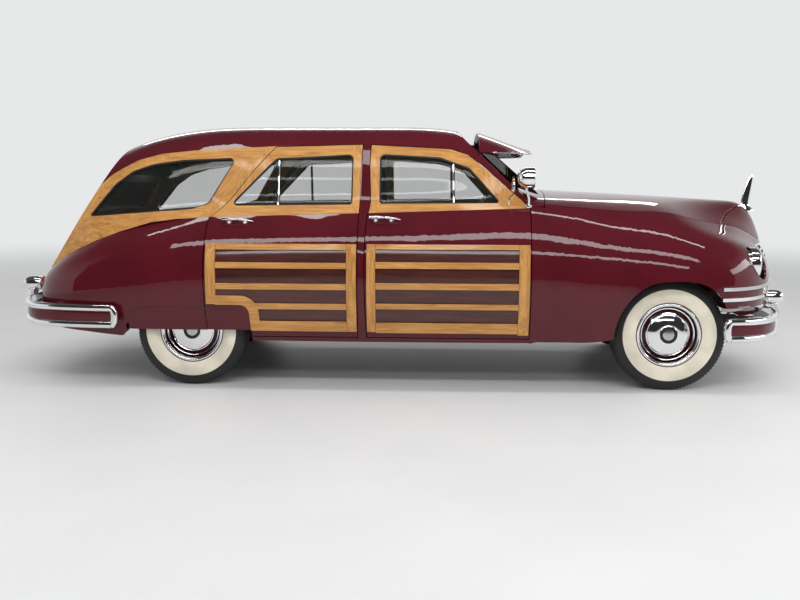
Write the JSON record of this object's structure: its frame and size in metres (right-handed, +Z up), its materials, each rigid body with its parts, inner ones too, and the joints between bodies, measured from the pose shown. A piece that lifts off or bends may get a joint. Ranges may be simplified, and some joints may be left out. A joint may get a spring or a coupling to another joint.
{
  "type": "station wagon",
  "caption": "Full-size wood-sided station wagon of the late 1940s with opening doors, hood, tailgate and liftgate.",
  "frame": {"origin": "on the ground under the middle of the bounding box", "axes": "+X to the front of the car, +Y to its left, +Z up"},
  "size_m": [5.1969, 1.9938, 1.6971],
  "materials": {
    "body_paint": "gloss maroon",
    "wood_frame": "varnished ash",
    "window_glass": "clear",
    "bright_trim": "polished",
    "lamp_red": "clear red lens",
    "upholstery": "satin",
    "dash_paint": "satin",
    "frame_black": "satin",
    "floor_mat": "matte",
    "engine_iron": "painted",
    "wheel_paint": "gloss",
    "tyre_rubber": "with pale side walls"
  },
  "bodies": {
    "body": {"body_frame": "body_paint", "chassis_frame": "frame_black", "cowl": "body_paint", "dashboard": "dash_paint", "engine": "engine_iron", "fixed_glass": "window_glass", "floor_pan": "floor_mat", "front_bumper": "bright_trim", "front_fenders": "body_paint", "front_seat": "upholstery", "front_suspension": "frame_black", "grille": "bright_trim", "headlamps": "bright_trim", "quarter_wood": "wood_frame", "rear_axle": "frame_black", "rear_bumper": "bright_trim", "rear_quarters": "body_paint", "rear_seat": "upholstery", "rear_skirts": "body_paint", "roof": "body_paint", "spotlights": "bright_trim", "tail_lamps": "lamp_red", "visor": "body_paint", "wheel_houses": "floor_mat"},
    "steering": {"steering_wheel": "dash_paint"},
    "hood": {"hood": "body_paint", "hood_ornament": "bright_trim"},
    "liftgate": {"liftgate": "wood_frame", "liftgate_glass": "window_glass"},
    "tailgate": {"tailgate": "wood_frame"},
    "knuckle_right": {"knuckle_right": "frame_black"},
    "door_front_right": {"door_front_right": "body_paint", "door_front_right_wood": "wood_frame", "door_front_right_glass": "window_glass", "mirror_right": "bright_trim"},
    "wheel_front_right": {"wheel_front_right": "wheel_paint", "tyre_front_right": "tyre_rubber"},
    "door_rear_right": {"door_rear_right": "body_paint", "door_rear_right_wood": "wood_frame", "door_rear_right_glass": "window_glass"},
    "wheel_rear_right": {"wheel_rear_right": "wheel_paint", "tyre_rear_right": "tyre_rubber"},
    "knuckle_left": {"knuckle_left": "frame_black"},
    "door_front_left": {"door_front_left": "body_paint", "door_front_left_wood": "wood_frame", "door_front_left_glass": "window_glass", "mirror_left": "bright_trim"},
    "wheel_front_left": {"wheel_front_left": "wheel_paint", "tyre_front_left": "tyre_rubber"},
    "door_rear_left": {"door_rear_left": "body_paint", "door_rear_left_wood": "wood_frame", "door_rear_left_glass": "window_glass"},
    "wheel_rear_left": {"wheel_rear_left": "wheel_paint", "tyre_rear_left": "tyre_rubber"}
  },
  "joints": [
    {"name": "steering_turn", "type": "hinge", "parent": "body", "child": "steering", "pos_m": [0.508, 0.38, 1.015], "axis": [-0.848, 0, 0.5299], "range_deg": [-540, 540]},
    {"name": "knuckle_right_steer", "type": "hinge", "parent": "body", "child": "knuckle_right", "pos_m": [1.7395, -0.64, 0.357], "axis": [0, 0, 1], "range_deg": [-32, 32]},
    {"name": "wheel_front_right_spin", "type": "hinge", "parent": "knuckle_right", "child": "wheel_front_right", "pos_m": [1.7395, -0.758, 0.357], "axis": [0, 1, 0], "continuous": true},
    {"name": "wheel_rear_right_spin", "type": "hinge", "parent": "body", "child": "wheel_rear_right", "pos_m": [-1.3085, -0.771, 0.357], "axis": [0, 1, 0], "continuous": true},
    {"name": "door_front_right_swing", "type": "hinge", "parent": "body", "child": "door_front_right", "pos_m": [0.853, -0.99, 0.8], "axis": [0, 0, 1], "range_deg": [0, 62]},
    {"name": "door_rear_right_swing", "type": "hinge", "parent": "body", "child": "door_rear_right", "pos_m": [-0.227, -0.99, 0.8], "axis": [0, 0, 1], "range_deg": [0, 62]},
    {"name": "knuckle_left_steer", "type": "hinge", "parent": "body", "child": "knuckle_left", "pos_m": [1.7395, 0.64, 0.357], "axis": [0, 0, 1], "range_deg": [-32, 32]},
    {"name": "wheel_front_left_spin", "type": "hinge", "parent": "knuckle_left", "child": "wheel_front_left", "pos_m": [1.7395, 0.758, 0.357], "axis": [0, 1, 0], "continuous": true},
    {"name": "wheel_rear_left_spin", "type": "hinge", "parent": "body", "child": "wheel_rear_left", "pos_m": [-1.3085, 0.771, 0.357], "axis": [0, 1, 0], "continuous": true},
    {"name": "door_front_left_swing", "type": "hinge", "parent": "body", "child": "door_front_left", "pos_m": [0.853, 0.99, 0.8], "axis": [0, 0, -1], "range_deg": [0, 62]},
    {"name": "door_rear_left_swing", "type": "hinge", "parent": "body", "child": "door_rear_left", "pos_m": [-0.227, 0.99, 0.8], "axis": [0, 0, -1], "range_deg": [0, 62]},
    {"name": "hood_lift", "type": "hinge", "parent": "body", "child": "hood", "pos_m": [0.985, 0, 1.275], "axis": [0, -1, 0], "range_deg": [0, 45]},
    {"name": "liftgate_lift", "type": "hinge", "parent": "body", "child": "liftgate", "pos_m": [-1.9379, 0, 1.38497], "axis": [0, 1, 0], "range_deg": [0, 75]},
    {"name": "tailgate_drop", "type": "hinge", "parent": "body", "child": "tailgate", "pos_m": [-2.37718, 0, 0.71876], "axis": [0, -1, 0], "range_deg": [0, 118]}
  ],
  "couplings": [
    {"joint": "knuckle_right_steer", "follows": "steering_turn", "ratio": 0.0592},
    {"joint": "knuckle_left_steer", "follows": "steering_turn", "ratio": 0.0592}
  ]
}
